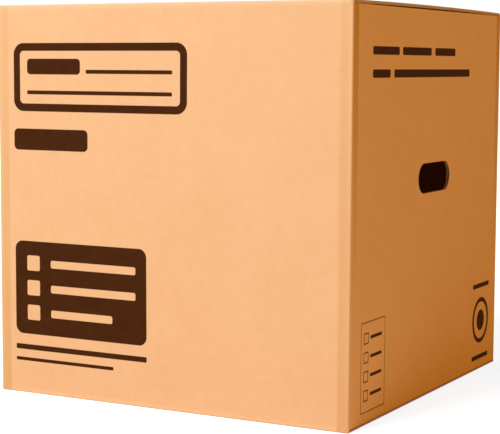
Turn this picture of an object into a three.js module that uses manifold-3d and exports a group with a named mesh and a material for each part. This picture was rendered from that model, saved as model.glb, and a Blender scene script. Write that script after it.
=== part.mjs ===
// A corrugated archive box: a regular slotted carton, closed, of single-wall board.
// Millimetres, +Z up. The origin is the middle of the base. The front wall faces -Y,
// and the two end walls, each with a hand hole, face +X and -X.
import * as THREE from "three";
import { mergeGeometries, mergeVertices } from "three/addons/utils/BufferGeometryUtils.js";
import Module from "manifold-3d";

const wasm = await Module();
wasm.setup();

// Outside of the closed box
const OUTER_LENGTH = 405; // along X, from end wall to end wall
const OUTER_WIDTH = 405; // along Y, from front wall to back wall
const OUTER_HEIGHT = 405;

// The board and its folds
const BOARD = 3; // B-flute board: two liners and the fluted medium between them
const FLAP_FOLD_INSIDE = 0.8; // inside radius of a fold between a wall and a flap
const CORNER_FOLD_INSIDE = 0.8; // inside radius of an upright fold between two walls
const SLOT_MARGIN = 0.2; // a slot between two flaps is cut this far past the upright fold
const SLOT_DEPTH = 1.5; // and this far below the outer face of the lower flap
const MEETING_GAP = 1.6; // between the free edges of two flaps that meet in the middle
const LAYER_GAP = 0.3; // between a moving flap and the flap that it rests on
const HINGE_GAP = 0.3; // between a moving flap and the wall that it folds from

// Inside the board
const LINER = 0.35; // thickness of each of the two liners
const MEDIUM = 0.3; // thickness of the waved medium
const FLUTE_PITCH = 6.4; // from one wave of the medium to the next
const GLUE_LINE = 1; // width over which a wave's crest is stuck to its liner
const CRUSHED_AT_FOLD = 6; // the flutes are pressed flat this far from a fold

// The hand holes
const HAND_HOLE_LENGTH = 87;
const HAND_HOLE_HEIGHT = 31;
const HAND_HOLE_ABOVE_BASE = 229.5; // to the middle of the hole
const HAND_HOLE_SHIFT = 3; // from the middle of the end wall towards the back

// The glued joint at the rear left corner
const TAB_WIDTH = 35;
const TAB_TAPER = 12; // the tab's free edge is this much shorter at each end
const TAB_END_CLEARANCE = 9; // between the tab and the flaps above and below it
const JOINT_EDGE_INSET = 1; // the back wall's raw edge stops short of the end wall's face

// How finely the arcs are divided
const FOLD_STEPS = 4; // on a quarter turn
const HAND_HOLE_STEPS = 12; // on each round end
const WAVE_STEPS = 4; // on the curved side of each tunnel

// Worked out from the sizes above
const FLAP_FOLD = FLAP_FOLD_INSIDE + BOARD;
const CORNER_FOLD = CORNER_FOLD_INSIDE + BOARD;
const SLOT_REACH = CORNER_FOLD + SLOT_MARGIN;
const FRONT_HALF_WIDTH = OUTER_LENGTH / 2 - SLOT_REACH; // of the flaps on the front and back
const END_HALF_WIDTH = OUTER_WIDTH / 2 - SLOT_REACH; // of the flaps on the end walls
const OUTER_FLAP_LENGTH = OUTER_WIDTH / 2 - MEETING_GAP / 2;
const INNER_FLAP_LENGTH = OUTER_LENGTH / 2 - MEETING_GAP / 2;
const INNER_FLAP_TOP = OUTER_HEIGHT - BOARD - LAYER_GAP;
const INNER_FLAP_BOTTOM = BOARD;
const RIGHT_ANGLE = Math.PI / 2;

// A closed mesh with shared vertices, as a solid that can be joined and cut.
function solidFrom(geometry) {
  const plain = geometry.clone();
  plain.deleteAttribute("normal");
  plain.deleteAttribute("uv");
  const merged = mergeVertices(plain, 1e-4);
  return new wasm.Manifold(
    new wasm.Mesh({
      numProp: 3,
      vertProperties: merged.attributes.position.array,
      triVerts: new Uint32Array(merged.index.array),
    }),
  );
}

// The triangles of a solid, as geometry for a mesh with flat faces.
function geometryFrom(solid) {
  const mesh = solid.getMesh();
  const shared = new THREE.BufferGeometry();
  shared.setAttribute("position", new THREE.BufferAttribute(mesh.vertProperties, 3));
  shared.setIndex(new THREE.BufferAttribute(mesh.triVerts, 1));
  const flat = shared.toNonIndexed();
  flat.computeVertexNormals();
  return flat;
}

function joined(solids) {
  return solids.reduce((whole, next) => whole.add(next));
}

// A profile with its first axis inwards from the front wall and its second axis up,
// carried along the length of the box.
function alongLength(shape, halfWidth) {
  const strip = new THREE.ExtrudeGeometry(shape, {
    depth: 2 * halfWidth,
    bevelEnabled: false,
    curveSegments: FOLD_STEPS,
  });
  strip.translate(0, 0, -halfWidth);
  // Extrusion axis to +X, the profile's first axis to +Y and its second to +Z.
  strip.applyMatrix4(
    new THREE.Matrix4().makeBasis(
      new THREE.Vector3(0, 1, 0),
      new THREE.Vector3(0, 0, 1),
      new THREE.Vector3(1, 0, 0),
    ),
  );
  strip.translate(0, -OUTER_WIDTH / 2, 0);
  return strip;
}

// The same for a profile that starts at the left end wall, carried across the width.
function acrossWidth(shape, halfWidth) {
  const strip = new THREE.ExtrudeGeometry(shape, {
    depth: 2 * halfWidth,
    bevelEnabled: false,
    curveSegments: FOLD_STEPS,
  });
  strip.translate(0, 0, -halfWidth);
  strip.rotateX(RIGHT_ANGLE);
  strip.translate(-OUTER_LENGTH / 2, 0, 0);
  return strip;
}

function turnedHalf(geometry) {
  return geometry.clone().rotateZ(Math.PI);
}

// Front wall with its bottom flap, which lies outermost. The wall's top ends in the
// middle of the fold, on the mitre that faces the moving top flap.
function frontWallShape() {
  const top = OUTER_HEIGHT - FLAP_FOLD;
  const mitre = 1.5 * RIGHT_ANGLE;
  const shape = new THREE.Shape();
  shape.absarc(FLAP_FOLD, top, FLAP_FOLD, mitre, Math.PI, false);
  shape.absarc(FLAP_FOLD, FLAP_FOLD, FLAP_FOLD, Math.PI, 3 * RIGHT_ANGLE, false);
  shape.lineTo(OUTER_FLAP_LENGTH, 0);
  shape.lineTo(OUTER_FLAP_LENGTH, BOARD);
  shape.absarc(FLAP_FOLD, FLAP_FOLD, FLAP_FOLD_INSIDE, 3 * RIGHT_ANGLE, Math.PI, true);
  shape.absarc(FLAP_FOLD, top, FLAP_FOLD_INSIDE, Math.PI, mitre, true);
  shape.closePath();
  return shape;
}

// Top outer flap: the other half of that fold, and the flat board up to the middle.
function topFlapShape() {
  const centre = OUTER_HEIGHT - FLAP_FOLD;
  const mitreAt = (radius) => 1.5 * RIGHT_ANGLE - Math.asin(HINGE_GAP / radius);
  const shape = new THREE.Shape();
  shape.moveTo(OUTER_FLAP_LENGTH, OUTER_HEIGHT - BOARD);
  shape.lineTo(OUTER_FLAP_LENGTH, OUTER_HEIGHT);
  shape.absarc(FLAP_FOLD, centre, FLAP_FOLD, RIGHT_ANGLE, mitreAt(FLAP_FOLD), false);
  shape.absarc(
    FLAP_FOLD,
    centre,
    FLAP_FOLD_INSIDE,
    mitreAt(FLAP_FOLD_INSIDE),
    RIGHT_ANGLE,
    true,
  );
  shape.closePath();
  return shape;
}

// End wall with its two inner flaps, folded in under the top flaps and on the bottom ones.
function endWallShape() {
  const high = INNER_FLAP_TOP - FLAP_FOLD;
  const low = INNER_FLAP_BOTTOM + FLAP_FOLD;
  const shape = new THREE.Shape();
  shape.moveTo(INNER_FLAP_LENGTH, INNER_FLAP_TOP - BOARD);
  shape.lineTo(INNER_FLAP_LENGTH, INNER_FLAP_TOP);
  shape.absarc(FLAP_FOLD, high, FLAP_FOLD, RIGHT_ANGLE, Math.PI, false);
  shape.absarc(FLAP_FOLD, low, FLAP_FOLD, Math.PI, 3 * RIGHT_ANGLE, false);
  shape.lineTo(INNER_FLAP_LENGTH, INNER_FLAP_BOTTOM);
  shape.lineTo(INNER_FLAP_LENGTH, INNER_FLAP_BOTTOM + BOARD);
  shape.absarc(FLAP_FOLD, low, FLAP_FOLD_INSIDE, 3 * RIGHT_ANGLE, Math.PI, true);
  shape.absarc(FLAP_FOLD, high, FLAP_FOLD_INSIDE, Math.PI, RIGHT_ANGLE, true);
  shape.closePath();
  return shape;
}

// The band of walls from above. Three corners are plain folds. At the rear left one the
// back wall ends in a raw edge, and the end wall folds in beneath it as the glued tab.
function wallBandShape() {
  const x = OUTER_LENGTH / 2;
  const y = OUTER_WIDTH / 2;
  const fold = CORNER_FOLD;
  const shape = new THREE.Shape();
  shape.absarc(-x + fold, -y + fold, fold, Math.PI, 3 * RIGHT_ANGLE, false);
  shape.absarc(x - fold, -y + fold, fold, 3 * RIGHT_ANGLE, 4 * RIGHT_ANGLE, false);
  shape.absarc(x - fold, y - fold, fold, 0, RIGHT_ANGLE, false);
  shape.lineTo(-x + JOINT_EDGE_INSET, y);
  shape.lineTo(-x + JOINT_EDGE_INSET, y - BOARD);
  shape.absarc(-x + fold, y - BOARD - fold, fold, RIGHT_ANGLE, Math.PI, false);
  shape.closePath();

  const inside = CORNER_FOLD_INSIDE;
  const hollow = new THREE.Path();
  hollow.absarc(x - fold, -y + fold, inside, 4 * RIGHT_ANGLE, 3 * RIGHT_ANGLE, true);
  hollow.absarc(-x + fold, -y + fold, inside, 3 * RIGHT_ANGLE, Math.PI, true);
  hollow.absarc(-x + fold, y - fold, inside, Math.PI, RIGHT_ANGLE, true);
  hollow.absarc(x - fold, y - fold, inside, RIGHT_ANGLE, 0, true);
  hollow.closePath();
  shape.holes.push(hollow);
  return shape;
}

function wallBand() {
  const bottom = INNER_FLAP_BOTTOM + SLOT_DEPTH;
  const top = INNER_FLAP_TOP - SLOT_DEPTH;
  const band = new THREE.ExtrudeGeometry(wallBandShape(), {
    depth: top - bottom,
    bevelEnabled: false,
    curveSegments: FOLD_STEPS,
  });
  return band.translate(0, 0, bottom);
}

// The glued tab, flat on the inside of the back wall, tapered at its two ends.
function glueTab() {
  const start = -OUTER_LENGTH / 2 + BOARD;
  const end = start + TAB_WIDTH;
  const low = INNER_FLAP_BOTTOM + BOARD + TAB_END_CLEARANCE;
  const high = INNER_FLAP_TOP - BOARD - TAB_END_CLEARANCE;
  const shape = new THREE.Shape();
  shape.moveTo(start, low);
  shape.lineTo(end, low + TAB_TAPER);
  shape.lineTo(end, high - TAB_TAPER);
  shape.lineTo(start, high);
  shape.closePath();
  const tab = new THREE.ExtrudeGeometry(shape, { depth: BOARD, bevelEnabled: false });
  tab.rotateX(RIGHT_ANGLE);
  return tab.translate(0, OUTER_WIDTH / 2 - BOARD, 0);
}

// The punch for both hand holes: a long hole with round ends, right through each end wall.
function handHolePunch(side) {
  const radius = HAND_HOLE_HEIGHT / 2;
  const reach = HAND_HOLE_LENGTH / 2 - radius;
  const shape = new THREE.Shape();
  shape.absarc(reach, 0, radius, -RIGHT_ANGLE, RIGHT_ANGLE, false);
  shape.absarc(-reach, 0, radius, RIGHT_ANGLE, 3 * RIGHT_ANGLE, false);
  shape.closePath();
  const punch = new THREE.ExtrudeGeometry(shape, {
    depth: 3 * BOARD,
    bevelEnabled: false,
    curveSegments: HAND_HOLE_STEPS,
  });
  punch.translate(0, 0, -1.5 * BOARD);
  punch.rotateX(RIGHT_ANGLE);
  punch.rotateZ(RIGHT_ANGLE);
  const wallMiddle = OUTER_LENGTH / 2 - BOARD / 2;
  return punch.translate(side * wallMiddle, HAND_HOLE_SHIFT, HAND_HOLE_ABOVE_BASE);
}

function cartonBody() {
  const front = alongLength(frontWallShape(), FRONT_HALF_WIDTH);
  const leftEnd = acrossWidth(endWallShape(), END_HALF_WIDTH);
  const pieces = [wallBand(), front, turnedHalf(front), leftEnd, turnedHalf(leftEnd), glueTab()];
  const folded = joined(pieces.map(solidFrom));
  const punches = [1, -1].map((side) => solidFrom(handHolePunch(side)));
  return geometryFrom(punches.reduce((rest, punch) => rest.subtract(punch), folded));
}

// The hollow between the waved medium and one liner, seen along the flutes. The medium
// is a cosine wave that touches both liners, and the hollow lies over one of its troughs.
function hollowShape(side) {
  const liner = BOARD / 2 - LINER;
  const wave = liner - MEDIUM / 2;
  const halfWidth = (FLUTE_PITCH - GLUE_LINE) / 2;
  const medium = (x) => MEDIUM / 2 - wave * Math.cos((2 * Math.PI * x) / FLUTE_PITCH);
  const shape = new THREE.Shape();
  shape.moveTo(-halfWidth, side * liner);
  for (let step = 0; step <= WAVE_STEPS; step += 1) {
    const x = halfWidth * ((2 * step) / WAVE_STEPS - 1);
    shape.lineTo(x, side * medium(x));
  }
  shape.lineTo(halfWidth, side * liner);
  shape.closePath();
  return shape;
}

// All the tunnels of the front flap: they run from its free edge to where the flutes are
// crushed at the fold, above the medium in each trough and below it under each crest.
function fluteTunnels() {
  const length = OUTER_FLAP_LENGTH - FLAP_FOLD - CRUSHED_AT_FOLD;
  const waves = Math.floor((2 * FRONT_HALF_WIDTH) / FLUTE_PITCH);
  const tunnels = [];
  for (const side of [1, -1]) {
    const tunnel = new THREE.ExtrudeGeometry(hollowShape(side), {
      depth: length + BOARD,
      bevelEnabled: false,
    });
    tunnel.rotateX(RIGHT_ANGLE);
    tunnel.translate(0, -MEETING_GAP / 2 + BOARD, OUTER_HEIGHT - BOARD / 2);
    const count = side > 0 ? waves : waves - 1;
    for (let index = 0; index < count; index += 1) {
      tunnels.push(tunnel.clone().translate((index - (count - 1) / 2) * FLUTE_PITCH, 0, 0));
    }
  }
  return mergeGeometries(tunnels);
}

function frontTopFlap() {
  const board = solidFrom(alongLength(topFlapShape(), FRONT_HALF_WIDTH));
  return geometryFrom(board.subtract(solidFrom(fluteTunnels())));
}

// Brown corrugated board, the same sheet throughout.
function boardMaterial() {
  return new THREE.MeshStandardMaterial({ color: 0xecb27c, roughness: 0.9, metalness: 0 });
}

function mesh(name, geometry) {
  const made = new THREE.Mesh(geometry, boardMaterial());
  made.name = name;
  return made;
}

const box = new THREE.Group();
box.add(mesh("carton_body", cartonBody()));
const flapGeometry = frontTopFlap();
box.add(mesh("front_top_flap", flapGeometry));
const backFlap = mesh("back_top_flap", flapGeometry);
backFlap.rotation.z = Math.PI;
box.add(backFlap);

export default box;
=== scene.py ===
# %% [markdown]
# # A corrugated archive box
# The box is one sheet of single-wall corrugated board: two paper liners with a waved
# paper, the medium, glued between them. The sheet is cut, creased, folded round and
# glued along one upright corner. This lesson builds its skin, its cut edges with the
# flutes showing, the two top flaps that open, the print, the paper and the studio.

import bmesh
import bpy
import numpy as np
from mathutils import Matrix, Vector


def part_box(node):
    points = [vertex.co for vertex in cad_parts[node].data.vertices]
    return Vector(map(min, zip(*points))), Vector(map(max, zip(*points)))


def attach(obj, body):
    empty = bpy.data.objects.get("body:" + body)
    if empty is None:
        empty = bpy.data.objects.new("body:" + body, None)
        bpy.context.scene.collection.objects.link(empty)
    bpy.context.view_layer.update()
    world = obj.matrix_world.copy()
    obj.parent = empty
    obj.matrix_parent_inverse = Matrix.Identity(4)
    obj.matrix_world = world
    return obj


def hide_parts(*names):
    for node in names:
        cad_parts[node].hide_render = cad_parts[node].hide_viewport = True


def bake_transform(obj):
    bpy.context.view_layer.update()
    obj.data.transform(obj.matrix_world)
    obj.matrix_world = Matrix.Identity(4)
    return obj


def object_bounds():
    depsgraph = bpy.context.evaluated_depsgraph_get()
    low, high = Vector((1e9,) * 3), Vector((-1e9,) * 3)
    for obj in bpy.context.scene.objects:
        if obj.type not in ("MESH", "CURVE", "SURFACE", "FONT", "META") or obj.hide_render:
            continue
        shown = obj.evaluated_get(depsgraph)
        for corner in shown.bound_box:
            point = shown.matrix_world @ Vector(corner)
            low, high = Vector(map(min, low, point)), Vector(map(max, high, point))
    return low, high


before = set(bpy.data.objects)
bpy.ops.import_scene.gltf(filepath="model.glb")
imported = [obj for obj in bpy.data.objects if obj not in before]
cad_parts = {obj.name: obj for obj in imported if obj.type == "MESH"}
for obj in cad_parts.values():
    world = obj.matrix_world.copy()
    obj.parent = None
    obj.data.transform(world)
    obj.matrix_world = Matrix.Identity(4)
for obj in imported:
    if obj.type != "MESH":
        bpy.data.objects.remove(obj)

cad_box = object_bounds()
print("box of the packed model", [[round(v, 4) for v in corner] for corner in cad_box])

# %% [markdown]
# ## Sizes
# Every length comes from the frame where the frame states it: the outside of the box
# from its bounds, and the gap in the middle from the flap's own corners. What a liner, a
# flute or a crease measures is a property of the board, so it is named here, through a
# small constant that stands for one millimetre.

# %% Sizes of the box and of its board
MM = 0.001
HALF = (cad_box[1][0] - cad_box[0][0]) / 2
HEIGHT = cad_box[1][2] - cad_box[0][2]
flap_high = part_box("front_top_flap")[1]
MEET = -flap_high[1]
BOARD = 3 * MM
FOLD, FOLD_INSIDE = 1.6 * MM, 0.4 * MM
INSIDE = BOARD + FOLD_INSIDE
SLOT_SIDE = HALF - 1.8 * MM
LAYER_GAP = 0.3 * MM
LINER = 0.35 * MM
MEDIUM = 0.28 * MM
FLUTE_PITCH = 6.4 * MM
GROOVE = 9 * MM
HOLE_HALF_LENGTH, HOLE_RADIUS = 43.5 * MM, 15.5 * MM
HOLE_SHIFT, HOLE_HEIGHT = 3 * MM, 229.5 * MM
print("half side", HALF, "side of a slot", SLOT_SIDE, "half of the middle gap", MEET)

# %% [markdown]
# ## A sheet of board from its two skins
# Board could be a box with a bump on its edges, but a cut edge is where one sees what
# the material is. So every sheet is made from two matched grids of points, the outer
# skin and the inner skin. Its faces are laid on both, and each open edge is then closed
# by a small loop: down the cut edge of one liner, in along its hidden side, across, and
# back along the other liner. That leaves a groove between the liners, and the waved
# medium is put into it afterwards. Where a knife ran along the flutes it crushed them,
# so the groove has no depth there and the edge is plain.

# %% Meshes from whole arrays
SHARPEST_BEND = np.radians(35)
SAME_PLACE = 1e-6


def new_mesh(name, points, quads, slots=0):
    """A mesh object at the origin from an (n, 3) array of points and an (m, 4) array of
    quads. Points at one place are merged, and a quad that this leaves flat goes. Bends
    under SHARPEST_BEND are shaded as round, and the others as edges."""
    mesh = bpy.data.meshes.new(name)
    mesh.from_pydata(points, [], quads.tolist())
    slots = np.broadcast_to(slots, len(quads)).astype(np.int32)
    mesh.polygons.foreach_set("material_index", slots)
    form = bmesh.new()
    form.from_mesh(mesh)
    bmesh.ops.remove_doubles(form, verts=form.verts, dist=SAME_PLACE)
    form.to_mesh(mesh)
    form.free()
    mesh.shade_smooth()
    mesh.set_sharp_from_angle(angle=SHARPEST_BEND)
    piece = bpy.data.objects.new(name, mesh)
    bpy.context.scene.collection.objects.link(piece)
    print(name, len(mesh.vertices), "points", len(mesh.polygons), "faces")
    return piece


def grid_quads(rows, columns):
    """Quads of a grid of rows by columns of points, numbered along the rows."""
    corner = np.arange(rows * columns).reshape(rows, columns)
    sides = (corner[:-1, :-1], corner[:-1, 1:], corner[1:, 1:], corner[1:, :-1])
    return np.stack([side.ravel() for side in sides], axis=1)


def weld(points, quads):
    """Points that agree to SAME_PLACE become one. Quads are renumbered to match."""
    keys = np.round(points / SAME_PLACE).astype(np.int64)
    _, first, where = np.unique(keys, axis=0, return_index=True, return_inverse=True)
    return points[first], where.reshape(-1)[quads]


def open_edges(quads):
    """Edges that only one quad has, as pairs of point numbers in that quad's turn."""
    edges = np.concatenate([quads[:, [k, (k + 1) % 4]] for k in range(4)])
    ends = np.sort(edges, axis=1)
    _, where, count = np.unique(ends, axis=0, return_inverse=True, return_counts=True)
    return edges[count[where.reshape(-1)] == 1]


def unit(vectors):
    """Each vector divided by its length."""
    return vectors / np.linalg.norm(vectors, axis=-1, keepdims=True)


# %% Closing the open edges of a sheet
SKIN, CUT, END_SKIN = 0, 1, 2
LEAST_MITRE = 0.3


def sheet_of_board(name, outer, inner, quads, flat_edge, skins=SKIN):
    """A closed sheet from paired skins. The groove at an edge point goes in by GROOVE
    along the sum of its two edges' inward directions, divided by one plus their dot
    product, which is a mitre and is never under LEAST_MITRE. flat_edge says which
    middles have no groove."""
    both, quads = weld(np.concatenate([outer, inner], axis=1), quads)
    outer, inner = both[:, :3], both[:, 3:]
    edges = open_edges(quads)
    start, end = edges.T
    middle = (outer + inner) / 2
    inward = np.cross(unit(outer[start] - inner[start]), unit(middle[end] - middle[start]))
    total, before = np.zeros_like(outer), np.zeros_like(outer)
    np.add.at(total, edges, inward[:, None])
    before[end] = inward
    mitre = np.ones(len(outer))
    turned = np.einsum("ij,ij->i", inward, before[start])
    mitre[start] = np.maximum(1 + turned, LEAST_MITRE)
    depth = np.where(flat_edge(middle), 0.0, GROOVE)
    step_in = total * (depth / mitre)[:, None]
    liner = (inner - outer) * (LINER / BOARD)
    loops = [outer, outer + liner, outer + liner + step_in]
    loops += [inner - liner + step_in, inner - liner, inner]
    count = len(outer)
    faces = [quads, quads[:, ::-1] + 5 * count]
    for first in range(0, 5 * count, count):
        after = first + count
        faces.append(np.stack([end + first, start + first, start + after, end + after], 1))
    faces = np.concatenate(faces)
    slots = np.full(len(faces), CUT)
    slots[: 2 * len(quads)] = np.tile(np.broadcast_to(skins, len(quads)), 2)
    used, where = np.unique(faces, return_inverse=True)
    return new_mesh(name, np.concatenate(loops)[used], where.reshape(faces.shape), slots)


# %% [markdown]
# ## The folded sheet
# The walls could be four plates, but a carton is one sheet that bends round its corners
# and over its folds. So each wall is one coordinate across, one coordinate along its
# profile, and a quarter turn that puts it on its side of the box. The profile holds the
# outer and the inner skin side by side: straight runs, and quarter circles that are small
# outside as well as inside, because the creasing wheel crushed the flutes there. Where two
# patches share an edge they share its points, so the weld makes them one sheet again.

# %% Places along the profile of a wall
INNER_TOP = HEIGHT - BOARD - LAYER_GAP
WALL_LOW = BOARD + INSIDE + 1 * MM
WALL_HIGH = INNER_TOP - INSIDE - 1 * MM
WALL_TOP = HEIGHT - INSIDE - 1 * MM
CORNER_LOW, CORNER_HIGH = 0.6 * MM, HEIGHT - 0.6 * MM
FLAP_START = INSIDE + 1 * MM
FLAP_END = HALF - MEET
WALL_STEPS, FLAP_STEPS, MOVING_FLAP_STEPS, BEND_STEPS, CREASE_STEPS = 56, 30, 40, 20, 12


def straight(start, end, steps):
    """Rows of outer u, outer v, inner u, inner v, evenly from start to end."""
    share = np.linspace(0, 1, steps + 1)[:, None]
    return np.array(start) * (1 - share) + np.array(end) * share


def quarter(face, start_angle, end_angle, steps=8):
    """Rows round the fold between a wall and the flap whose outer skin is at the height
    face: a centre plus a radius times cosine and sine. The outer centre lies FOLD in from
    both skins, and the inner one INSIDE."""
    angle = np.radians(np.linspace(start_angle, end_angle, steps + 1))
    ray = np.stack([np.cos(angle), np.sin(angle)], axis=1)
    way = 1 if face < HEIGHT / 2 else -1
    outer = (FOLD, face + way * FOLD) + FOLD * ray
    inner = (INSIDE, face + way * INSIDE) + FOLD_INSIDE * ray
    return np.concatenate([outer, inner], axis=1)


def profile(*runs):
    """Runs put end to end. Those that don't start where the last one ended are joined to
    it by one step, and a row that repeats the last is left out."""
    rows = np.concatenate(runs)
    return rows[np.append(True, np.abs(np.diff(rows, axis=0)).max(axis=1) > SAME_PLACE / 10)]


def upright(bottom, top, steps):
    """An upright run with its outer skin at u = 0 and its inner one at u = BOARD."""
    return straight((0, bottom, BOARD, bottom), (0, top, BOARD, top), steps)


def level(start, end, face, steps):
    """A level run with its outer skin at the height face, and the inner one inside it."""
    under = face + BOARD if face < HEIGHT / 2 else face - BOARD
    return straight((start, face, start, under), (end, face, end, under), steps)


wall = upright(WALL_LOW, WALL_HIGH, WALL_STEPS)
bottom_outer, bottom_inner = (
    profile(level(FLAP_END, FLAP_START, face, FLAP_STEPS), quarter(face, 270, 180), wall[:1])
    for face in (0.0, BOARD)
)
top_outer = upright(WALL_HIGH, WALL_TOP, 2)
top_inner = profile(
    wall[-1:], quarter(INNER_TOP, 180, 90), level(FLAP_START, FLAP_END, INNER_TOP, FLAP_STEPS)
)
top_flap = level(FLAP_START, FLAP_END, HEIGHT, MOVING_FLAP_STEPS)
top_fold = quarter(HEIGHT, 180, 90, BEND_STEPS)
top_crease = profile(
    straight(top_outer[-1], top_fold[0], CREASE_STEPS),
    top_fold,
    straight(top_fold[-1], top_flap[0], CREASE_STEPS),
)
print("rows of the profiles", [len(run) for run in (bottom_outer, wall, top_inner, top_crease)])

# %% Bowed walls, and the quarter turns that put them round the box
FRONT, RIGHT, BACK, LEFT = range(4)
WALL_BOW = (0.9 * MM, 0.6 * MM, 0.9 * MM, 0.6 * MM)
BOW_FADE = 4 * BOARD
FLAP_RISE = 1.2 * MM


def on_side(side, across, run):
    """Outer and inner points of a panel, from places across it and rows of its profile.
    A wall bows out by its bow times a cosine across and a sine up. A moving flap rises by
    FLAP_RISE times w (2 - w), where w is the way from its fold to its free edge."""
    shape = np.broadcast_shapes(np.shape(across), run.shape[:-1])
    across, run = np.broadcast_to(across, shape), np.broadcast_to(run, shape + (4,))
    arch = np.cos(np.pi / 2 * np.clip(across / SLOT_SIDE, -1, 1))
    skins = []
    for u, v in ((run[..., 0], run[..., 1]), (run[..., 2], run[..., 3])):
        way_up = np.clip((v - WALL_LOW) / (WALL_HIGH - WALL_LOW), 0, 1)
        in_wall = np.clip(1 - (u - BOARD) / BOW_FADE, 0, 1)
        out = u - WALL_BOW[side] * arch * np.sin(np.pi * way_up) * in_wall
        way_in = np.clip((u - FLAP_START) / (FLAP_END - FLAP_START), 0, 1)
        rise = FLAP_RISE * way_in * (2 - way_in)
        up = v + np.where(v > INNER_TOP + LAYER_GAP / 2, rise, 0)
        x, y = across, out - HALF
        for _ in range(side):
            x, y = -y, x
        skins.append(np.stack([x, y, up], axis=-1))
    return skins


COLUMN_STEP, EDGE_ZONE = 7 * MM, 3 * MM
edge_columns = np.array([0, 0.3]) * EDGE_ZONE
even_columns = np.linspace(
    EDGE_ZONE - SLOT_SIDE, SLOT_SIDE - EDGE_ZONE, 2 * round(SLOT_SIDE / COLUMN_STEP) + 1
)
columns = np.concatenate([edge_columns - SLOT_SIDE, even_columns, SLOT_SIDE - edge_columns[::-1]])
print("columns on a wall", len(columns))

# %% [markdown]
# ## Hand holes
# A punched hole could be a boolean cut, which leaves long thin faces. Here the end wall
# is laid out as rings instead: the outermost ring is the wall's border, point for point,
# the innermost is the hole's outline, and the rings between are a blend of the two. The
# outline is a slot with round ends, found along a ray from the hole's middle: where the
# ray meets the flat side if it can, and otherwise where it meets the end circle.

# %% A wall laid out in rings round its hand hole
HOLE_REACH = HOLE_HALF_LENGTH - HOLE_RADIUS
RING_POWER = 1.6
shift_of = {RIGHT: HOLE_SHIFT, LEFT: -HOLE_SHIFT}


def hole_outline(ray):
    """Distance from the hole's middle to its outline along unit directions (n, 2)."""
    cosine, sine = np.abs(ray).T
    flat = HOLE_RADIUS / np.maximum(sine, 1e-9)
    round_end = np.sqrt(np.maximum(HOLE_RADIUS**2 - (HOLE_REACH * sine) ** 2, 0))
    return np.where(flat * cosine <= HOLE_REACH, flat, HOLE_REACH * cosine + round_end)


def holed_wall(side, rings=18):
    """Rings from the wall's border in to its hole: border plus share times the way in.
    The share is one minus a power of what is left, so the rings lie closer at the hole."""
    rows, still = wall[:, 1], np.ones(len(wall))
    border = [
        np.stack([columns, np.full(len(columns), rows[0])], 1)[:-1],
        np.stack([columns[-1] * still, rows], 1)[:-1],
        np.stack([columns, np.full(len(columns), rows[-1])], 1)[:0:-1],
        np.stack([columns[0] * still, rows], 1)[::-1],
    ]
    border = np.concatenate(border)
    ray = unit(border - (shift_of[side], HOLE_HEIGHT))
    outline = (shift_of[side], HOLE_HEIGHT) + ray * hole_outline(ray)[:, None]
    share = (1 - np.linspace(1, 0, rings + 1) ** RING_POWER)[:, None, None]
    place = border * (1 - share) + outline * share
    across, v = place[..., 0], place[..., 1]
    return on_side(side, across, np.stack([0 * v, v, 0 * v + BOARD, v], axis=-1))


# %% [markdown]
# ## The body of the carton
# The sheet goes round the box as four walls and the folds between them. The fourth
# upright corner is the maker's joint: the back wall ends there in a raw edge, and the
# left end wall stops just beneath it, where its tab turns in and is glued. A slot between
# two flaps leaves the tip of each corner standing free.

# %% Patches of the sheet
JOINT_INSET = 1 * MM
GLUE_LINE = 0.1 * MM
NEAR = 0.1 * MM


def round_corner(side, rows):
    """The upright fold after a wall: a flat strip, a quarter turn about the centre of the
    outer or of the inner skin and another strip, carried up the rows. Past the walls,
    where only its tips are left between the slots, its inner skin is the slots' corner."""
    angle = np.radians(np.linspace(-90, 0, 9))
    tip = (rows[:, 1:2] < WALL_LOW - NEAR) | (rows[:, 1:2] > WALL_TOP + NEAR)
    skins = []
    for centre, radius in ((HALF - FOLD, FOLD), (HALF - INSIDE, FOLD_INSIDE)):
        x = np.concatenate([[SLOT_SIDE], centre + radius * np.cos(angle), [centre + radius]])
        y = np.concatenate([[-centre - radius], radius * np.sin(angle) - centre, [-SLOT_SIDE]])
        if radius == FOLD_INSIDE:
            x, y = np.where(tip, SLOT_SIDE, x), np.where(tip, -SLOT_SIDE, y)
        for _ in range(side):
            x, y = -y, x
        skins.append(np.stack(np.broadcast_arrays(x, y, rows[:, 1:2]), axis=-1))
    return skins


def gathered(grids):
    """Paired grids as one list of outer points, one of inner points, one of quads, and
    for each quad the number of its grid."""
    quads = [grid_quads(*outer.shape[:2]) for outer, _ in grids]
    first = np.cumsum([0] + [outer.shape[0] * outer.shape[1] for outer, _ in grids[:-1]])
    return (
        np.concatenate([outer.reshape(-1, 3) for outer, _ in grids]),
        np.concatenate([inner.reshape(-1, 3) for _, inner in grids]),
        np.concatenate([own + start for own, start in zip(quads, first)]),
        np.repeat(np.arange(len(grids)), [len(own) for own in quads]),
    )


corner_rows = profile(
    upright(CORNER_LOW, WALL_LOW - 2 * NEAR, 1),
    wall,
    top_outer,
    upright(WALL_TOP + 2 * NEAR, CORNER_HIGH, 1),
)
end_grids, other_grids = [], []
for side in (RIGHT, LEFT):
    end_grids.append(on_side(side, columns, bottom_inner[:, None]))
    end_grids.append(holed_wall(side))
    end_grids.append(on_side(side, columns, top_inner[:, None]))
for side in (FRONT, BACK):
    other_grids.append(on_side(side, columns, bottom_outer[:, None]))
    other_grids.append(on_side(side, columns, wall[:, None]))
    other_grids.append(on_side(side, columns, top_outer[:, None]))
other_grids += [round_corner(side, corner_rows) for side in (FRONT, RIGHT, LEFT)]
past_back = np.array([SLOT_SIDE, HALF - JOINT_INSET])
other_grids.append(on_side(BACK, past_back, corner_rows[:, None]))
print(len(end_grids) + len(other_grids), "patches")

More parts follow.
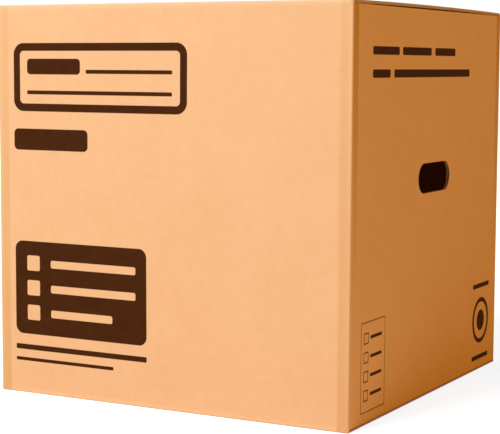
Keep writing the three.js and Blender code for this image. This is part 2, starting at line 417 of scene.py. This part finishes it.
# %% The body, closed and carried
def plain_edge(middle):
    """Edges with no groove. Only two kinds show open flutes: a flap's free edge, whose
    smaller distance from the middle of the box is MEET, and the hand holes' outlines."""
    x, y, z = np.abs(middle).T
    free = (np.minimum(x, y) < MEET + NEAR) & (np.maximum(x, y) < HALF - FLAP_START - NEAR)
    hole = (x > HALF - BOARD) & (y < HALF / 2) & (z > WALL_LOW + NEAR) & (z < WALL_HIGH - NEAR)
    return ~(free | hole)


*skins_and_quads, grid_number = gathered(end_grids + other_grids)
body_skins = np.where(grid_number < len(end_grids), END_SKIN, SKIN)
body = sheet_of_board("carton_board", *skins_and_quads, plain_edge, body_skins)
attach(body, "carton")
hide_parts("carton_body")

# %% [markdown]
# ## The glued tab
# The tab is the last strip of the sheet, turned in and glued to the inside of the back
# wall. Its ends are cut on a slant so that it never stops a flap. It is a grid whose
# height shrinks evenly from the fold to its free edge.

# %% The tab inside the rear corner
TAB_WIDTH, TAB_TAPER, TAB_END = 35 * MM, 12 * MM, 12 * MM
share = np.linspace(0, 1, 6)
lift = np.linspace(0, 1, 30)[:, None]
tab_low = WALL_LOW + TAB_END + TAB_TAPER * share
tab_z = tab_low + lift * (WALL_HIGH + WALL_LOW - 2 * tab_low)
tab_x = np.broadcast_to(BOARD - HALF + TAB_WIDTH * share, tab_z.shape)
tab_y = np.full_like(tab_z, HALF - BOARD - GLUE_LINE)
tab_outer = np.stack([tab_x, tab_y, tab_z], axis=-1)[:, ::-1]
tab_inner = tab_outer - (0, BOARD, 0)
glue_tab = sheet_of_board("glue_tab", *gathered([(tab_outer, tab_inner)])[:3], plain_edge)
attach(glue_tab, "carton")

# %% [markdown]
# ## The moving flaps and their creases
# Each outer top flap is stiff board, so it rides on its own body. The crease between it
# and the wall is paper that bends: it is one strip round the fold, from the top of the wall
# to the flap.
# Flap and crease are SLOT_GAP narrower at each end than the slots, as a knife leaves them.

# %% Two flaps, two creases
SLOT_GAP = 0.15 * MM
flap_columns = columns * (1 - SLOT_GAP / SLOT_SIDE)
flap_boards = [body, glue_tab]
for side, child, label in ((FRONT, "front_flap", "front"), (BACK, "back_flap", "back")):
    skins = gathered([on_side(side, flap_columns, top_flap[:, None])])[:3]
    flap = sheet_of_board(label + "_flap_board", *skins, plain_edge)
    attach(flap, child)
    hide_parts(label + "_top_flap")
    skins = gathered([on_side(side, flap_columns, top_crease[:, None])])[:3]
    crease = sheet_of_board(label + "_crease", *skins, plain_edge)
    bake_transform(crease)
    for piece in (flap, crease):
        flap_boards.append(piece)

# %% [markdown]
# ## The waved medium
# Between the liners runs the medium, a wave across the flutes. It could fill the whole
# sheet, but it is only made where a cut edge shows it: along the free edge of each flap,
# and above and below each hand hole, where its ends follow the round outline.

# %% Sheets of waved paper
FLUTE_STEPS = 12
WAVE = (BOARD - 2 * LINER - MEDIUM) / 2
TRIM = 0.15 * MM


def waved(side, across, run):
    """A thin closed sheet halfway between the skins, moved to the outer one by WAVE times
    the cosine of the place across at FLUTE_PITCH, with half of MEDIUM on either side of
    it, and a band of quads round its border."""
    outer, inner = on_side(side, across, run)
    through = unit(outer - inner)
    wave = WAVE * np.cos(2 * np.pi * np.asarray(across) / FLUTE_PITCH)[..., None]
    middle = (outer + inner) / 2 + through * wave
    rows, count = middle.shape[:2]
    number = np.arange(rows * count).reshape(rows, count)
    rim = np.concatenate([number[0, :-1], number[:-1, -1], number[-1, :0:-1], number[:0:-1, 0]])
    after = np.roll(rim, -1)
    back = rows * count
    quads = grid_quads(rows, count)
    band = np.stack([after, rim, rim + back, after + back], axis=1)
    faces = [(middle + through * half).reshape(-1, 3) for half in (MEDIUM / 2, -MEDIUM / 2)]
    return np.concatenate(faces), np.concatenate([quads, quads[:, ::-1] + back, band])


def places_across(start, end):
    """Places from start to end, about FLUTE_STEPS of them to a wave."""
    return np.linspace(start, end, int((end - start) / FLUTE_PITCH * FLUTE_STEPS) + 2)


def flap_medium(side, face):
    """The medium of one flap: a strip along its free edge, as deep as the groove there."""
    edge = HALF - FLAP_START - EDGE_ZONE
    strip = level(FLAP_END - GROOVE, FLAP_END - TRIM, face, 2)[:, None]
    return [waved(side, places_across(-edge, edge), strip)]


def hole_medium(side):
    """The medium above and below a hand hole: its near end follows the hole's outline,
    which is the hole's radius over the flat part and falls as a circle past it."""
    end = HOLE_HALF_LENGTH - TRIM
    off = places_across(-end, end)
    past = np.maximum(np.abs(off) - HOLE_REACH, 0)
    outline = np.sqrt(np.maximum(HOLE_RADIUS**2 - past**2, 0)) + TRIM
    sheets = []
    for away in (np.linspace(0, GROOVE, 4), -np.linspace(GROOVE, 0, 4)):
        v = HOLE_HEIGHT + np.sign(away.sum()) * outline + away[:, None]
        run = np.stack([0 * v, v, 0 * v + BOARD, v], axis=-1)
        sheets.append(waved(side, off + shift_of[side], run))
    return sheets


def medium_piece(name, sheets, body_name):
    """Sheets of medium as one piece, each one's points numbered on from the last's."""
    first = np.cumsum([0] + [len(points) for points, _ in sheets[:-1]])
    quads = np.concatenate([quads + start for (_, quads), start in zip(sheets, first)])
    piece = new_mesh(name, np.concatenate([points for points, _ in sheets]), quads)
    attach(piece, body_name)
    return piece


body_sheets = []
for side in (RIGHT, LEFT):
    body_sheets += flap_medium(side, BOARD) + flap_medium(side, INNER_TOP) + hole_medium(side)
for side in (FRONT, BACK):
    body_sheets += flap_medium(side, 0.0)
media = [
    medium_piece("carton_flutes", body_sheets, "carton"),
    medium_piece("front_flap_flutes", flap_medium(FRONT, HEIGHT), "front_flap"),
    medium_piece("back_flap_flutes", flap_medium(BACK, HEIGHT), "back_flap"),
]

# %% [markdown]
# ## Colours and nodes
# A material here is a short chain of nodes, so one small function adds any node with its
# settings and links and gives back one of its outputs, and one turns a written colour
# into the linear one that a shader takes.

# %% Colour and node helpers
def linear(code):
    """An sRGB hex colour as a linear one: a power of 2.4, and a straight toe near black."""
    srgb = np.array([int(code[k : k + 2], 16) for k in (1, 3, 5)]) / 255
    plain = np.where(srgb <= 0.04045, srgb / 12.92, ((srgb + 0.055) / 1.055) ** 2.4)
    return (*plain.tolist(), 1.0)


def add_node(tree, kind, inputs=(), out=0, **settings):
    """Adds a node and gives its output named or numbered out. inputs maps a socket's
    name or number to a value, or to an output of another node, which is linked."""
    node = tree.nodes.new("ShaderNode" + kind)
    for key, value in settings.items():
        setattr(node, key, value)
    for socket, value in dict(inputs).items():
        if isinstance(value, bpy.types.NodeSocket):
            tree.links.new(value, node.inputs[socket])
        else:
            node.inputs[socket].default_value = value
    return node.outputs[out] if len(node.outputs) else node


# %% [markdown]
# ## The print
# The real box carries lettering and marks, which are not copied. In their place stands a
# plain form print in the same ink and at a like scale: a bold frame with blank rules, a
# heading bar, a solid panel with tick boxes and rules left out of it, and a ring. It
# could be an image, but shapes worked out in the shader stay sharp at any distance. They
# are painted in order, ink or bare paper, and each is a rounded box. Its distance is the
# length of what is left of the place, taken positive and less the box's half size, minus
# its radius. A frame is an inked box with a bare one on it.

# %% Shapes of the print: tone, middle, half size and radius, in millimetres
INKED, BARE = 1, 0
FRONT_PRINT = [
    (INKED, (-78.5, 331.0), (104.5, 35.0), 12.0),
    (BARE, (-78.5, 331.0), (96.5, 27.0), 4.5),
    (INKED, (-133.0, 342.0), (33.0, 8.0), 4.0),
    (INKED, (-42.0, 337.0), (51.0, 2.0), 1.0),
    (INKED, (-78.5, 315.5), (87.5, 2.0), 1.0),
    (INKED, (-137.0, 267.0), (46.0, 11.0), 5.0),
    (INKED, (-102.0, 112.0), (81.0, 49.0), 9.0),
    (BARE, (-160.0, 138.0), (8.0, 8.0), 2.0),
    (BARE, (-160.0, 112.0), (8.0, 8.0), 2.0),
    (BARE, (-160.0, 86.0), (8.0, 8.0), 2.0),
    (BARE, (-86.0, 138.0), (52.0, 4.0), 2.0),
    (BARE, (-86.0, 112.0), (52.0, 4.0), 2.0),
    (BARE, (-100.0, 86.0), (38.0, 4.0), 2.0),
    (INKED, (-102.0, 49.0), (81.0, 2.8), 1.4),
    (INKED, (-122.0, 36.0), (61.0, 1.8), 0.9),
]
END_PRINT = [
    (INKED, (-125.0, 359.0), (32.0, 4.0), 2.0),
    (INKED, (-47.0, 359.0), (38.0, 4.0), 2.0),
    (INKED, (30.0, 359.0), (29.0, 4.0), 2.0),
    (INKED, (-136.0, 337.0), (21.0, 4.0), 2.0),
    (INKED, (-1.5, 337.0), (104.5, 4.0), 2.0),
    (INKED, (-148.5, 57.0), (28.5, 44.0), 1.5),
    (BARE, (-148.5, 57.0), (27.6, 43.1), 0.6),
    *(
        shape
        for z in (85.0, 66.5, 48.0, 29.5)
        for shape in (
            (INKED, (-165.0, z), (5.5, 5.5), 1.0),
            (BARE, (-165.0, z), (4.3, 4.3), 0.5),
            (INKED, (-141.5, z), (13.5, 1.6), 0.8),
        )
    ),
    (INKED, (153.5, 57.0), (26.0, 26.0), 26.0),
    (BARE, (153.5, 57.0), (21.0, 21.0), 21.0),
    (INKED, (153.5, 57.0), (12.0, 12.0), 12.0),
    (INKED, (153.5, 97.0), (26.0, 2.6), 1.3),
    (INKED, (153.5, 15.0), (26.0, 2.6), 1.3),
]
INK_EDGE = 0.45
print(len(FRONT_PRINT) + len(END_PRINT), "shapes of print")


# %% How much ink covers a place
def ink_cover(tree, place, shapes):
    """Paints the shapes in order: ink takes the larger of what is there and its own
    cover, and bare paper the smaller of what is there and one minus its own."""
    cover = 0.0
    for tone, middle, half, radius in shapes:
        off = add_node(tree, "VectorMath", {0: place, 1: (*middle, 0)}, operation="SUBTRACT")
        away = add_node(tree, "VectorMath", {0: off}, operation="ABSOLUTE")
        core = (half[0] - radius, half[1] - radius, 0)
        over = add_node(tree, "VectorMath", {0: away, 1: core}, operation="SUBTRACT")
        past = add_node(tree, "VectorMath", {0: over, 1: (0, 0, 0)}, operation="MAXIMUM")
        reach = add_node(tree, "VectorMath", {0: past}, out="Value", operation="LENGTH")
        ends = {1: radius - INK_EDGE / 2, 2: radius + INK_EDGE / 2, 3: tone, 4: 1 - tone}
        own = add_node(tree, "MapRange", {0: reach, **ends})
        blend = "MAXIMUM" if tone == INKED else "MINIMUM"
        cover = add_node(tree, "Math", {0: cover, 1: own}, operation=blend)
    return cover


# %% [markdown]
# ## Paper
# The liner is brown paper made from long wood fibre on a wire: quite matt, a little
# cloudy where the fibre lies thicker, with thin darker fibres in it. Under it the flutes
# leave faint upright lines, the washboard. Where the sheet is folded, its fibres break up
# and look paler. Beside each upright fold the walls carry painted shade, a darker and more
# amber band in the liner's colour where the wall bends in to the crease. The medium and the
# cut edges are recycled paper, greyer and rougher. The print is one dark brown flexo ink
# that sinks in, so it is as matt as the paper.

# %% The folds and the painted shade band beside the upright folds, from a place on the box
PRINT_DEPTH = 1.2 * MM
FOLD_WEAR = 7 * MM
# Painted shade: a darker band beside each upright fold, painted into the liner's colour.
SHADE_BAND, SHADE_BAND_FADE, SHADE_BAND_LOW = 11 * MM, 3 * MM, 120 * MM
SHADE_BAND_END = {1: SHADE_BAND_LOW, 2: HEIGHT, 3: 0.0, 4: 1.0}
SHADE_BAND_FRONT = {1: 0.0, 2: HEIGHT, 3: 0.45, 4: 0.2}


def fold_nearness(tree, axes):
    """1 on a fold of the box and 0 from FOLD_WEAR on: two of a place's three distances
    from the middle of the box, added, come close to their largest sum on a fold."""
    x, y = (add_node(tree, "Math", {0: axes[k]}, operation="ABSOLUTE") for k in range(2))
    up = add_node(tree, "Math", {0: axes[2], 1: HEIGHT / 2}, operation="SUBTRACT")
    z = add_node(tree, "Math", {0: up}, operation="ABSOLUTE")
    wide = add_node(tree, "Math", {0: x, 1: y}, operation="MAXIMUM")
    upright_sum = add_node(tree, "Math", {0: x, 1: y}, operation="ADD")
    level_sum = add_node(tree, "Math", {0: wide, 1: z}, operation="ADD")
    most = add_node(tree, "Math", {0: upright_sum, 1: level_sum}, operation="MAXIMUM")
    ends = {1: 2 * HALF - FOLD_WEAR, 2: 2 * HALF - FOLD}
    return add_node(tree, "MapRange", {0: most, **ends}, interpolation_type="SMOOTHSTEP")


def painted_fold_shade(tree, axes, wave_axis):
    """How much painted shade lies on a wall's outer skin, where the place across is within the
    band's width of the upright fold. An end wall is shaded most at the top, down to nothing
    at the band's low end, and the front a little at the top and more towards the bottom."""
    across, out = axes[wave_axis], axes[1 - wave_axis]
    across = add_node(tree, "Math", {0: across}, operation="ABSOLUTE")
    ends = {1: HALF - SHADE_BAND - SHADE_BAND_FADE, 2: HALF - SHADE_BAND}
    near = add_node(tree, "MapRange", {0: across, **ends}, interpolation_type="SMOOTHSTEP")
    out = add_node(tree, "Math", {0: out}, operation="ABSOLUTE")
    on_wall = add_node(tree, "Math", {0: out, 1: HALF - PRINT_DEPTH}, operation="GREATER_THAN")
    near = add_node(tree, "Math", {0: near, 1: on_wall}, operation="MULTIPLY")
    ends = SHADE_BAND_END if wave_axis == 1 else SHADE_BAND_FRONT
    high = add_node(tree, "MapRange", {0: axes[2], **ends})
    return add_node(tree, "Math", {0: near, 1: high}, operation="MULTIPLY")


# %% Paper, from its tones
INK = "#452003"
WASHBOARD, FIBRE_BUMP = 0.012 * MM, 0.2 * MM
COLOURS = {"out": 2, "data_type": "RGBA"}
CLOUD_SCALES = (16, 110)
CLOUD_RANGE = {1: 0.7, 2: 1.3}
FIBRE_SCALES = (1900, 1900, 650)
FIBRE_RANGE = {1: 0.62, 2: 0.78, 4: 0.45}
THIN_INK = {1: 0.3, 2: 0.7, 3: 1.0, 4: 0.99}
FIBRE_HEIGHT = 0.4


def paper(name, tones, rough=0.25, wave_axis=None, shapes=(), outward=1):
    """A matt paper. tones are its own, its clouds', its fibres' and its worn folds'.
    wave_axis is the axis across the flutes, and shapes are printed on the outer skin of
    the wall that faces outward along the other one. A colour mix takes its sockets by
    number, 6 for the colour below and 7 for the one above, because its names repeat."""
    material = bpy.data.materials.new(name)
    material.use_nodes = True
    tree = material.node_tree
    tree.nodes.clear()
    place = add_node(tree, "TexCoord", out="Object")
    axes = [add_node(tree, "SeparateXYZ", {0: place}, out=k) for k in range(3)]

    # Clouds where the fibre lies thicker, about 60 mm and 9 mm across.
    broad, fine = (
        add_node(tree, "TexNoise", {"Vector": place, "Scale": scale, "Detail": detail})
        for scale, detail in zip(CLOUD_SCALES, (3, 4))
    )
    cloud = add_node(tree, "Math", {0: broad, 1: fine}, operation="ADD")
    cloud = add_node(tree, "MapRange", {0: cloud, **CLOUD_RANGE})
    both = {0: cloud, 6: linear(tones[0]), 7: linear(tones[1])}
    colour = add_node(tree, "Mix", both, **COLOURS)

    # Fibres stand upright and are drawn 1.5 mm long, as thinner ones don't show.
    along = add_node(tree, "VectorMath", {0: place, 1: FIBRE_SCALES}, operation="MULTIPLY")
    fibre = add_node(tree, "TexNoise", {"Vector": along, "Scale": 1, "Detail": 2})
    dark = add_node(tree, "MapRange", {0: fibre, **FIBRE_RANGE})
    colour = add_node(tree, "Mix", {0: dark, 6: colour, 7: linear(tones[2])}, **COLOURS)

    # The surface is as high as its fine cloud plus FIBRE_HEIGHT times its fibres.
    height = {0: fibre, 1: FIBRE_HEIGHT, 2: fine}
    height = add_node(tree, "Math", height, operation="MULTIPLY_ADD")
    bump = {"Height": height, "Strength": rough, "Distance": FIBRE_BUMP}
    if wave_axis is not None:
        near = fold_nearness(tree, axes)
        worn = add_node(tree, "Math", {0: near, 1: fine}, operation="MULTIPLY")
        colour = add_node(tree, "Mix", {0: worn, 6: colour, 7: linear(tones[3])}, **COLOURS)
        # Painted shade beside the upright folds, mixed into the liner's colour.
        shade_amount = painted_fold_shade(tree, axes, wave_axis)
        both = {0: shade_amount, 6: colour, 7: linear(PAINTED_SHADE_TONE)}
        colour = add_node(tree, "Mix", both, **COLOURS)
        turn = {0: axes[wave_axis], 1: 2 * np.pi / FLUTE_PITCH}
        phase = add_node(tree, "Math", turn, operation="MULTIPLY")
        wave = add_node(tree, "Math", {0: phase}, operation="COSINE")
        ridges = {"Height": wave, "Strength": 1.0, "Distance": WASHBOARD}
        bump["Normal"] = add_node(tree, "Bump", ridges)
    if shapes:
        across, out = axes[wave_axis], axes[1 - wave_axis]
        in_mm = add_node(tree, "CombineXYZ", {0: across, 1: axes[2]})
        in_mm = add_node(tree, "VectorMath", {0: in_mm, "Scale": 1 / MM}, operation="SCALE")
        facing = add_node(tree, "Math", {0: out, 1: outward}, operation="MULTIPLY")
        skin = {0: facing, 1: HALF - PRINT_DEPTH}
        on_wall = add_node(tree, "Math", skin, operation="GREATER_THAN")
        cover = ink_cover(tree, in_mm, shapes)
        cover = add_node(tree, "Math", {0: cover, 1: on_wall}, operation="MULTIPLY")
        thin = add_node(tree, "MapRange", {0: fine, **THIN_INK})
        cover = add_node(tree, "Math", {0: cover, 1: thin}, operation="MULTIPLY")
        colour = add_node(tree, "Mix", {0: cover, 6: colour, 7: linear(INK)}, **COLOURS)

    # Matt as paper is: a wide, weak highlight.
    matt = {"Roughness": 0.95, "IOR": 1.45, "Specular IOR Level": 0.12}
    matt.update({"Base Color": colour, "Normal": add_node(tree, "Bump", bump)})
    add_node(tree, "OutputMaterial", {0: add_node(tree, "BsdfPrincipled", matt)})
    return material


# %% The papers of the board
LINER_TONES = ("#F8C28D", "#F5BC87", "#D39A65", "#FCCFA0")
# The colour of the painted shade beside the upright folds.
PAINTED_SHADE_TONE = "#DE9C4E"
CUT_TONES = ("#DDB087", "#CDA177", "#A87A50")
MEDIUM_TONES = ("#C99C72", "#B98B60", "#8E6540")
front_print = {"wave_axis": 0, "shapes": FRONT_PRINT, "outward": -1}
front_liner = paper("brown liner paper, printed", LINER_TONES, **front_print)
end_print = {"wave_axis": 1, "shapes": END_PRINT}
end_liner = paper("brown liner paper of the end walls, printed", LINER_TONES, **end_print)
plain_liner = paper("brown liner paper", LINER_TONES, wave_axis=0)
cut_paper = paper("cut edge of the board", CUT_TONES, rough=0.5)
medium_paper = paper("fluted medium paper", MEDIUM_TONES, rough=0.5)
for piece in flap_boards:
    piece.data.materials.append(front_liner if piece == body else plain_liner)
    piece.data.materials.append(cut_paper)
body.data.materials.append(end_liner)
for piece in media:
    piece.data.materials.append(medium_paper)
print([(material.name, len(material.node_tree.nodes)) for material in (front_liner, end_liner)])

# %% [markdown]
# ## Camera, floor and light
# The camera stands about 28 degrees round to the right and nearly 6 degrees up, 1.7 m
# away with a long lens. A large cool lamp from the front left lights the front, and the
# warm room gives the end wall its amber half shade. The floor and the world look white
# to the camera, and the floor keeps the box's soft shadow.

# %% Camera
AZIMUTH, ELEVATION, ROLL = np.radians([28.373, 5.681, 0.275])
DISTANCE = 1.6852
LENS, SENSOR = 109.81, 36.0
AIM = (-0.00920, -0.00767, 0.17748)

level_ray = Vector((np.sin(AZIMUTH), -np.cos(AZIMUTH), 0))
back_ray = level_ray * np.cos(ELEVATION) + Vector((0, 0, np.sin(ELEVATION)))
right = Vector((0, 0, 1)).cross(back_ray).normalized()
up = back_ray.cross(right)
rolled = right * np.cos(ROLL) + up * np.sin(ROLL)
upward = up * np.cos(ROLL) - right * np.sin(ROLL)
turn = Matrix((rolled, upward, back_ray)).transposed().to_4x4()
camera_data = bpy.data.cameras.new("camera")
camera_data.sensor_fit = "HORIZONTAL"
camera_data.sensor_width, camera_data.lens = SENSOR, LENS
camera = bpy.data.objects.new("camera", camera_data)
camera.matrix_world = Matrix.Translation(Vector(AIM) + back_ray * DISTANCE) @ turn
bpy.context.scene.collection.objects.link(camera)
bpy.context.scene.camera = camera
print("camera at", [round(v, 4) for v in camera.matrix_world.translation])

# %% World and floor
ROOM_COLOUR, ROOM_STRENGTH = "#FFC953", 0.467
FLOOR_COLOUR = "#F0D8B5"
GLOW_NEAR, GLOW_FAR = "#C2E2F1", "#FFFFFF"
GLOW_TURNS = {1: 0.9, 2: 2.5}
FLOOR_HALF = 6.0


def seen_directly(tree):
    """1 for what the camera, a mirror or glass sees, and 0 for the light on things."""
    rays = [add_node(tree, "LightPath", out=f"Is {kind} Ray") for kind in ("Camera", "Glossy")]
    either = add_node(tree, "Math", {0: rays[0], 1: rays[1]}, operation="MAXIMUM")
    through = add_node(tree, "LightPath", out="Is Transmission Ray")
    return add_node(tree, "Math", {0: either, 1: through}, operation="MAXIMUM")


world = bpy.data.worlds.new("warm room, white to the eye")
bpy.context.scene.world = world
world.use_nodes = True
tree = world.node_tree
tree.nodes.clear()
white = add_node(tree, "Background", {"Color": (1, 1, 1, 1), "Strength": 1.0})
room = add_node(tree, "Background", {"Color": linear(ROOM_COLOUR), "Strength": ROOM_STRENGTH})
surface = add_node(tree, "MixShader", {0: seen_directly(tree), 1: room, 2: white})
add_node(tree, "OutputWorld", {0: surface})

edge = FLOOR_HALF * np.array([(-1, -1, 0), (1, -1, 0), (1, 1, 0), (-1, 1, 0)])
floor = new_mesh("floor", edge, np.array([[0, 1, 2, 3]]))
floor_paint = bpy.data.materials.new("matt white floor paint")
floor_paint.use_nodes = True
tree = floor_paint.node_tree
tree.nodes.clear()
pale = add_node(tree, "BsdfDiffuse", {"Color": linear(FLOOR_COLOUR)})
# The glow whitens with the distance from the box, where less of the lamp's light falls.
place = add_node(tree, "TexCoord", out="Object")
away = add_node(tree, "VectorMath", {0: place}, out="Value", operation="LENGTH")
away = add_node(tree, "MapRange", {0: away, **GLOW_TURNS})
whiter = add_node(tree, "Mix", {0: away, 6: linear(GLOW_NEAR), 7: linear(GLOW_FAR)}, **COLOURS)
glow = add_node(tree, "Emission", {"Color": whiter, "Strength": seen_directly(tree)})
add_node(tree, "OutputMaterial", {0: add_node(tree, "AddShader", {0: pale, 1: glow})})
floor.data.materials.append(floor_paint)

# %% The lamp
KEY_PLACE, KEY_AIM, KEY_SIZE = Vector((-0.9, -2.2, 2.6)), Vector((0, -0.2, 0.25)), 1.6
KEY_COLOUR, KEY_WATTS = "#BDDCFF", 136.0
lamp_data = bpy.data.lights.new("key lamp", "AREA")
lamp_data.size = KEY_SIZE
lamp_data.energy = KEY_WATTS
lamp_data.color = linear(KEY_COLOUR)[:3]
lamp = bpy.data.objects.new("key lamp", lamp_data)
aimed = (KEY_PLACE - KEY_AIM).to_track_quat("Z", "Y").to_matrix().to_4x4()
lamp.matrix_world = Matrix.Translation(KEY_PLACE) @ aimed
bpy.context.scene.collection.objects.link(lamp)
bpy.context.scene.view_settings.view_transform = "Standard"
